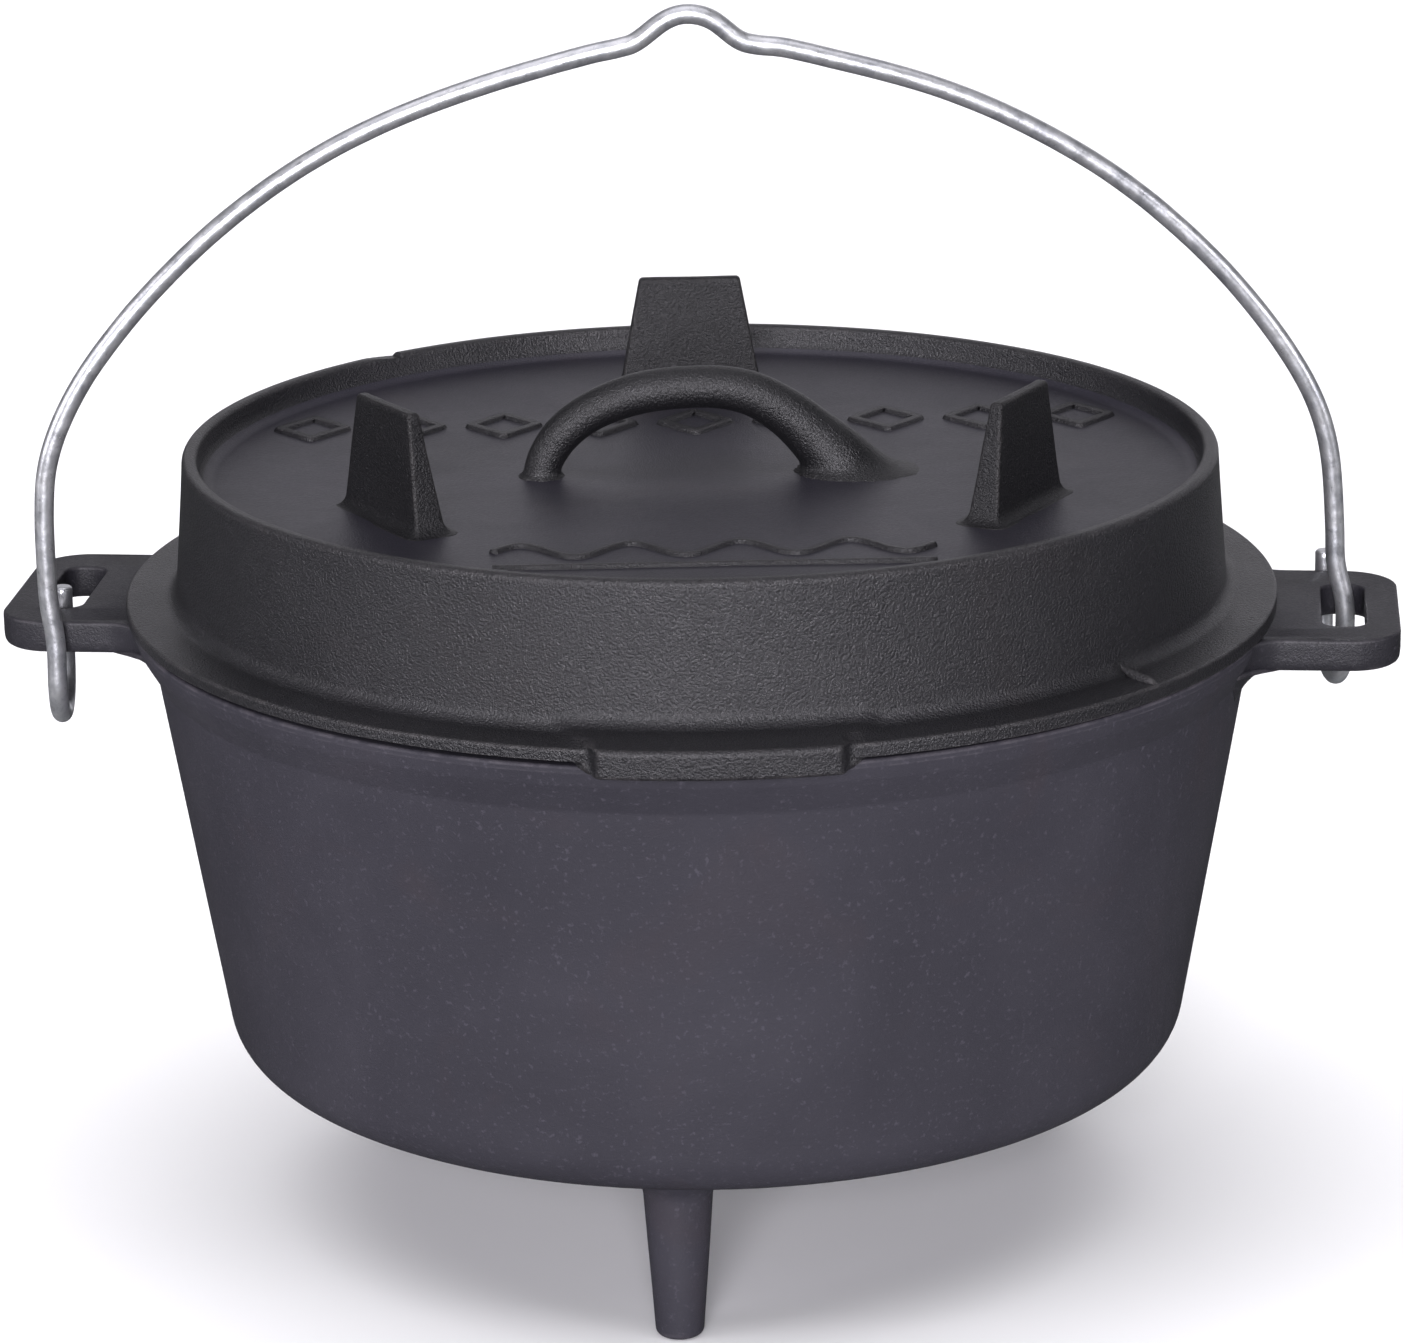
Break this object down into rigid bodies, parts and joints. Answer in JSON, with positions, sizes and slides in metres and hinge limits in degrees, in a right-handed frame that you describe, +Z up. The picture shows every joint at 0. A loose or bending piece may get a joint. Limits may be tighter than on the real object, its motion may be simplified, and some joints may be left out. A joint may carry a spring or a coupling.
{
  "type": "camp dutch oven",
  "caption": "Cast iron camp dutch oven: legged pot with slotted ears, flanged lid with trivet feet and a loop, and a hooked wire bail.",
  "frame": {"origin": "on the floor, under the pot's axis, in the plane of the three leg tips", "axes": "+Z up along the pot's axis; +X from ear to ear, towards the ear whose rear bar carries the bail; -Y towards the single front leg"},
  "size_m": [0.354, 0.2974, 0.3147],
  "materials": {
    "pot_iron": "smooth seasoned cast iron, satin",
    "lid_iron": "seasoned cast iron with sand-cast grain, satin",
    "bail_zinc": "mottled galvanised wire"
  },
  "bodies": {
    "pot": {"pot_body": "pot_iron", "left_ear": "pot_iron", "right_ear": "pot_iron", "front_leg": "pot_iron", "left_leg": "pot_iron", "right_leg": "pot_iron"},
    "lid": {"lid_plate": "lid_iron", "lid_wall": "lid_iron", "rear_foot": "lid_iron", "left_foot": "lid_iron", "right_foot": "lid_iron", "loop_handle": "lid_iron", "front_lug": "lid_iron", "casting_rib": "lid_iron", "back_relief": "lid_iron", "front_relief": "lid_iron"},
    "bail": {"bail_wire": "bail_zinc"}
  },
  "joints": [
    {"name": "lid_lift", "type": "slide", "parent": "pot", "child": "lid", "axis": [0, 0, 1], "range_m": [0, 0.028]},
    {"name": "bail_swing", "type": "hinge", "parent": "pot", "child": "bail", "pos_m": [0, 0, 0.15625], "axis": [0.9878, 0.156, 0], "range_deg": [-88, 64]}
  ]
}
